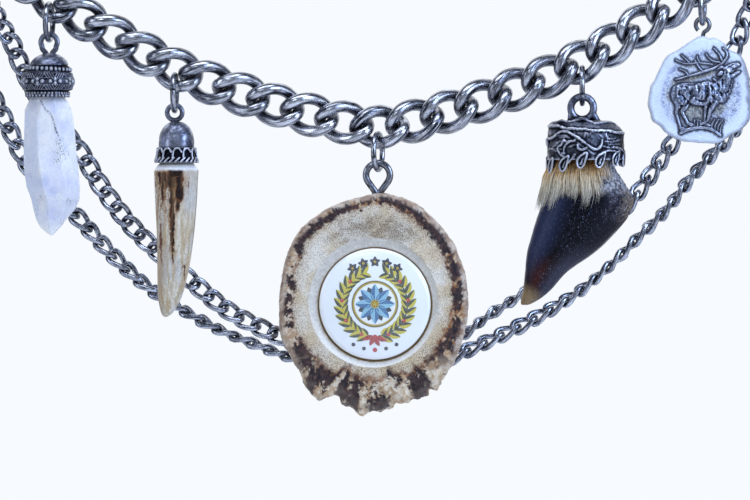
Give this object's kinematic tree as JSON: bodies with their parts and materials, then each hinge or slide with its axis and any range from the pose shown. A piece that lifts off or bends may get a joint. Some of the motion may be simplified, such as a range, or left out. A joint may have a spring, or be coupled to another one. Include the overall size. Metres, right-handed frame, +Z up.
{
  "type": "charivari charm chain",
  "caption": "Hanging curb chain with two finer chains and charms of quartz, antler, hoof and cast metal, each swinging on a jump ring, with an end hook at either side.",
  "frame": {"origin": "bearing point on the inner face of the left end hook's bend, where the chain is hung up", "axes": "+X along the chain to the viewer's right, +Y away from the viewer, +Z up"},
  "size_m": [0.2457, 0.0229, 0.1398],
  "materials": {
    "chain_silver": "antique silver, brushed, dark in the recesses",
    "fine_silver": "antique silver, oxidised",
    "cap_silver": "cast antique silver, oxidised",
    "quartz": "rough, milky and a little translucent",
    "antler": "polished antler with brown streaks",
    "antler_burr": "sawn antler with a dark bark edge",
    "porcelain": "glossy white glaze with a painted wreath",
    "fur": "short coarse hair",
    "hoof_horn": "smooth dark horn, rougher at the back",
    "antler_white": "sawn pale antler with a porous core"
  },
  "bodies": {
    "chain": {"link_1": "chain_silver", "link_2": "chain_silver", "link_3": "chain_silver", "link_4": "chain_silver", "link_5": "chain_silver", "link_6": "chain_silver", "link_7": "chain_silver", "link_8": "chain_silver", "link_9": "chain_silver", "link_10": "chain_silver", "link_11": "chain_silver", "link_12": "chain_silver", "link_13": "chain_silver", "link_14": "chain_silver", "link_15": "chain_silver", "link_16": "chain_silver", "link_17": "chain_silver", "link_18": "chain_silver", "link_19": "chain_silver", "link_20": "chain_silver", "link_21": "chain_silver", "link_22": "chain_silver", "link_23": "chain_silver", "link_24": "chain_silver", "link_25": "chain_silver", "link_26": "chain_silver", "link_27": "chain_silver", "link_28": "chain_silver", "link_29": "chain_silver", "link_30": "chain_silver", "link_31": "chain_silver", "link_32": "chain_silver", "link_33": "chain_silver", "left_hook": "chain_silver", "right_hook": "chain_silver", "fine_chain_upper": "fine_silver", "fine_chain_lower": "fine_silver", "joining_ring_upper_left": "chain_silver", "joining_ring_upper_right": "chain_silver", "joining_ring_lower_left": "chain_silver", "joining_ring_lower_right": "chain_silver"},
    "crystal_hanger": {"crystal_ring": "chain_silver"},
    "crystal_charm": {"crystal_cap": "cap_silver", "crystal_point": "quartz"},
    "antler_tip_hanger": {"antler_tip_ring": "chain_silver"},
    "antler_tip_charm": {"antler_tip_cap": "cap_silver", "antler_tip": "antler"},
    "medallion_hanger": {"medallion_ring": "chain_silver"},
    "medallion_charm": {"medallion_eye": "cap_silver", "medallion_disc": "antler_burr", "medallion_insert": "porcelain"},
    "hoof_hanger": {"hoof_ring": "chain_silver"},
    "hoof_charm": {"hoof_cap": "cap_silver", "hoof_fur": "fur", "hoof_claw": "hoof_horn"},
    "antler_slice_hanger": {"slice_ring": "chain_silver"},
    "antler_slice_charm": {"slice_eye": "cap_silver", "antler_slice": "antler_white", "stag_relief": "cap_silver"}
  },
  "joints": [
    {"name": "crystal_swing", "type": "hinge", "parent": "chain", "child": "crystal_hanger", "pos_m": [0.04949, 0.00028, -0.04644], "axis": [-0.9848, 0.1736, 0], "range_deg": [0, 40]},
    {"name": "crystal_sway", "type": "hinge", "parent": "crystal_hanger", "child": "crystal_charm", "pos_m": [0.04949, 0.00028, -0.05164], "axis": [0, 1, 0], "range_deg": [-20, 20]},
    {"name": "antler_tip_swing", "type": "hinge", "parent": "chain", "child": "antler_tip_hanger", "pos_m": [0.07663, -0.00016, -0.06153], "axis": [-0.9962, 0.0872, 0], "range_deg": [0, 40]},
    {"name": "antler_tip_sway", "type": "hinge", "parent": "antler_tip_hanger", "child": "antler_tip_charm", "pos_m": [0.07663, -0.00016, -0.06693], "axis": [0, 1, 0], "range_deg": [-20, 20]},
    {"name": "medallion_swing", "type": "hinge", "parent": "chain", "child": "medallion_hanger", "pos_m": [0.12054, 0.00027, -0.07394], "axis": [-0.9703, 0.2419, 0], "range_deg": [0, 40]},
    {"name": "medallion_sway", "type": "hinge", "parent": "medallion_hanger", "child": "medallion_charm", "pos_m": [0.12054, 0.00027, -0.07964], "axis": [0, 1, 0], "range_deg": [-15, 15]},
    {"name": "hoof_swing", "type": "hinge", "parent": "chain", "child": "hoof_hanger", "pos_m": [0.16466, 0.00023, -0.05988], "axis": [-0.9998, 0.0175, 0], "range_deg": [0, 40]},
    {"name": "hoof_sway", "type": "hinge", "parent": "hoof_hanger", "child": "hoof_charm", "pos_m": [0.16466, 0.00023, -0.06538], "axis": [0, 1, 0], "range_deg": [-12, 12]},
    {"name": "antler_slice_swing", "type": "hinge", "parent": "chain", "child": "antler_slice_hanger", "pos_m": [0.19065, -0.00015, -0.04291], "axis": [-0.9925, 0.1219, 0], "range_deg": [0, 40]},
    {"name": "antler_slice_sway", "type": "hinge", "parent": "antler_slice_hanger", "child": "antler_slice_charm", "pos_m": [0.19065, -0.00015, -0.04806], "axis": [0, 1, 0], "range_deg": [-20, 20]}
  ]
}
